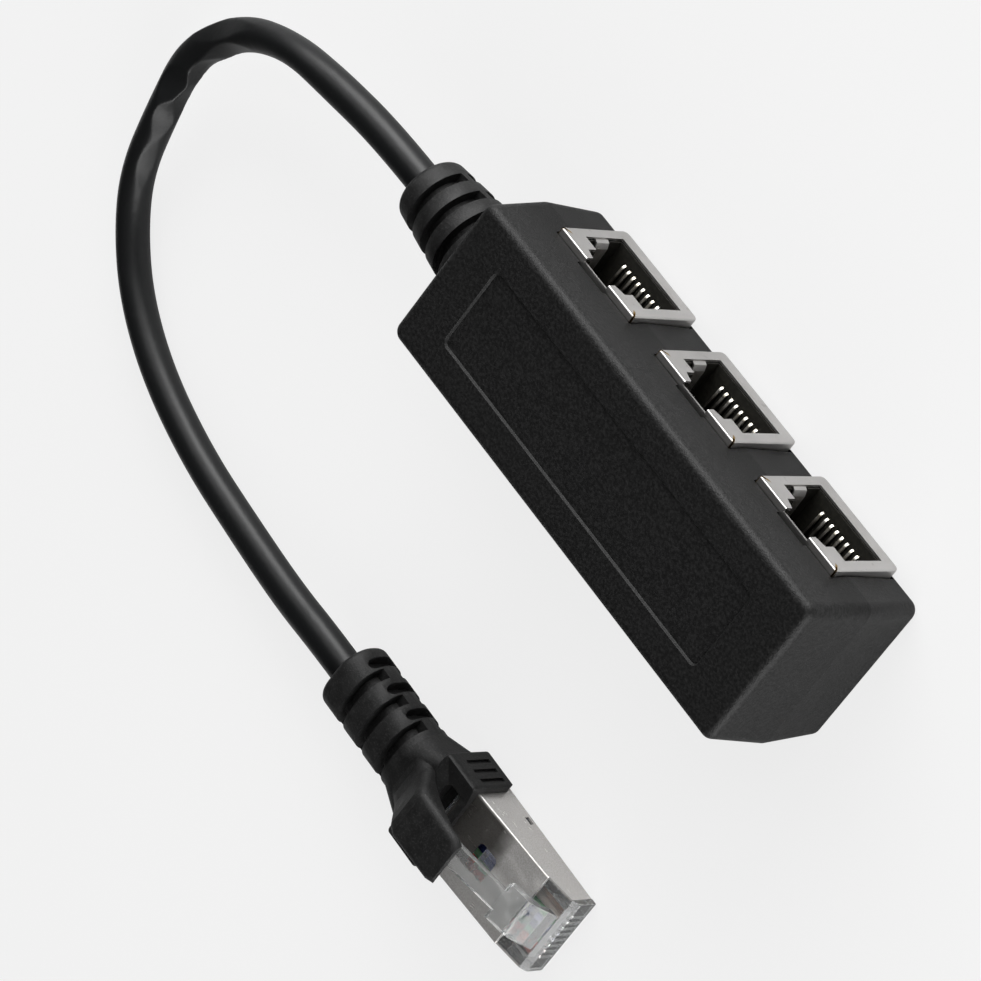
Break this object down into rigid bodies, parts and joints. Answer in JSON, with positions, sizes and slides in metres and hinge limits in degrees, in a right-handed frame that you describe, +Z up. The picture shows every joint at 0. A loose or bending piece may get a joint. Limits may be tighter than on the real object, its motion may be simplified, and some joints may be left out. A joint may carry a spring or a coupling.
{
  "type": "rj45 splitter adapter",
  "caption": "Black moulded housing with a row of shielded modular jacks, fed by a short cord that ends in a shielded modular plug; it splits a network line to further sockets.",
  "frame": {"origin": "centre of the housing's flat underside, halfway along its length and width at that face", "axes": "+X from the cord end of the housing to its free end, +Y the way the jacks look, +Z up, away from the surface it lies on"},
  "size_m": [0.129, 0.0744, 0.0212],
  "materials": {
    "housing": "fine satin mould texture, black",
    "relief": "satin moulded black",
    "boot": "satin flexible black",
    "jacket": "glossy black cord jacket",
    "insert_plastic": "black moulded insert",
    "shield_metal": "satin nickel plated sheet",
    "gold": "gold plated contact",
    "clear_body": "clear moulded polycarbonate",
    "board": "green solder mask",
    "lead_white": "white wire insulation",
    "lead_orange": "orange wire insulation",
    "lead_blue": "blue wire insulation",
    "lead_green": "green wire insulation",
    "lead_brown": "brown wire insulation"
  },
  "bodies": {
    "root": {"upper_shell": "housing", "lower_shell": "housing", "strain_relief": "relief", "circuit_board": "board", "inner_leads": "lead_white", "jack_shield_1": "shield_metal", "jack_insert_1": "insert_plastic", "jack_contacts_1": "gold", "jack_shield_2": "shield_metal", "jack_insert_2": "insert_plastic", "jack_contacts_2": "gold", "jack_shield_3": "shield_metal", "jack_insert_3": "insert_plastic", "jack_contacts_3": "gold", "cord": "jacket", "plug_boot": "boot", "plug_shield": "shield_metal", "plug_body": "clear_body", "plug_contacts": "gold", "wire_white_orange": "lead_white", "wire_orange": "lead_orange", "wire_white_green": "lead_white", "wire_blue": "lead_blue", "wire_white_blue": "lead_white", "wire_green": "lead_green", "wire_white_brown": "lead_white", "wire_brown": "lead_brown"}
  },
  "joints": []
}
